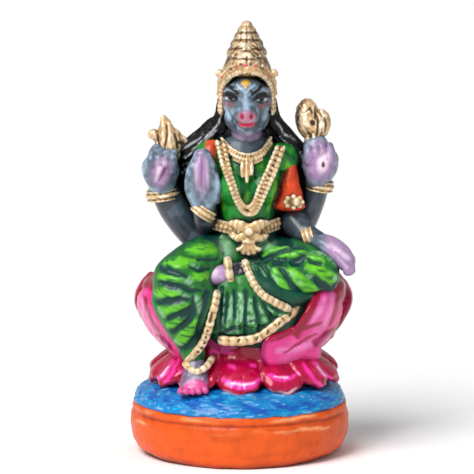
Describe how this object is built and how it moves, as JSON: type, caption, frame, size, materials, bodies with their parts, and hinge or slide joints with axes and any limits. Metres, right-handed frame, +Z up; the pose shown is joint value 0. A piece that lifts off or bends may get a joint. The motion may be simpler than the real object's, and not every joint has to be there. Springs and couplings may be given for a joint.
{
  "type": "varahi golu doll",
  "caption": "Painted clay festival doll: a boar-faced many-armed goddess seated on a lotus over water, cast together with its oval plinth, flat at the back.",
  "frame": {"origin": "on the flat underside, below the middle of the plinth's widest line, 23 mm in front of the flat back", "axes": "+Z up from the underside to the tip of the crown, the doll faces -Y, its left arm is on +X"},
  "size_m": [0.107, 0.073, 0.203],
  "materials": {
    "skin_grey": "satin paint, blue-grey with dark shading and mauve palms",
    "cloth_green": "satin paint, bright green with dark blue-green brush strokes in the folds",
    "gold": "pale metallic gold paint with brown in the hollows",
    "crown_gold": "pale metallic gold paint in front, light blue paint on the flat back",
    "lotus_pink": "pearly pink paint with maroon petal borders and a glossy maroon back",
    "petal_magenta": "pearly magenta paint with bright pink bands",
    "water_blue": "satin paint, blue with white wave strokes",
    "plinth_orange": "satin orange paint, maroon on the flat back",
    "hair_black": "glossy black paint with grey strands",
    "blouse": "green paint with an orange sleeve and shoulder"
  },
  "bodies": {
    "root": {"painted_clay_doll": "skin_grey"}
  },
  "joints": []
}
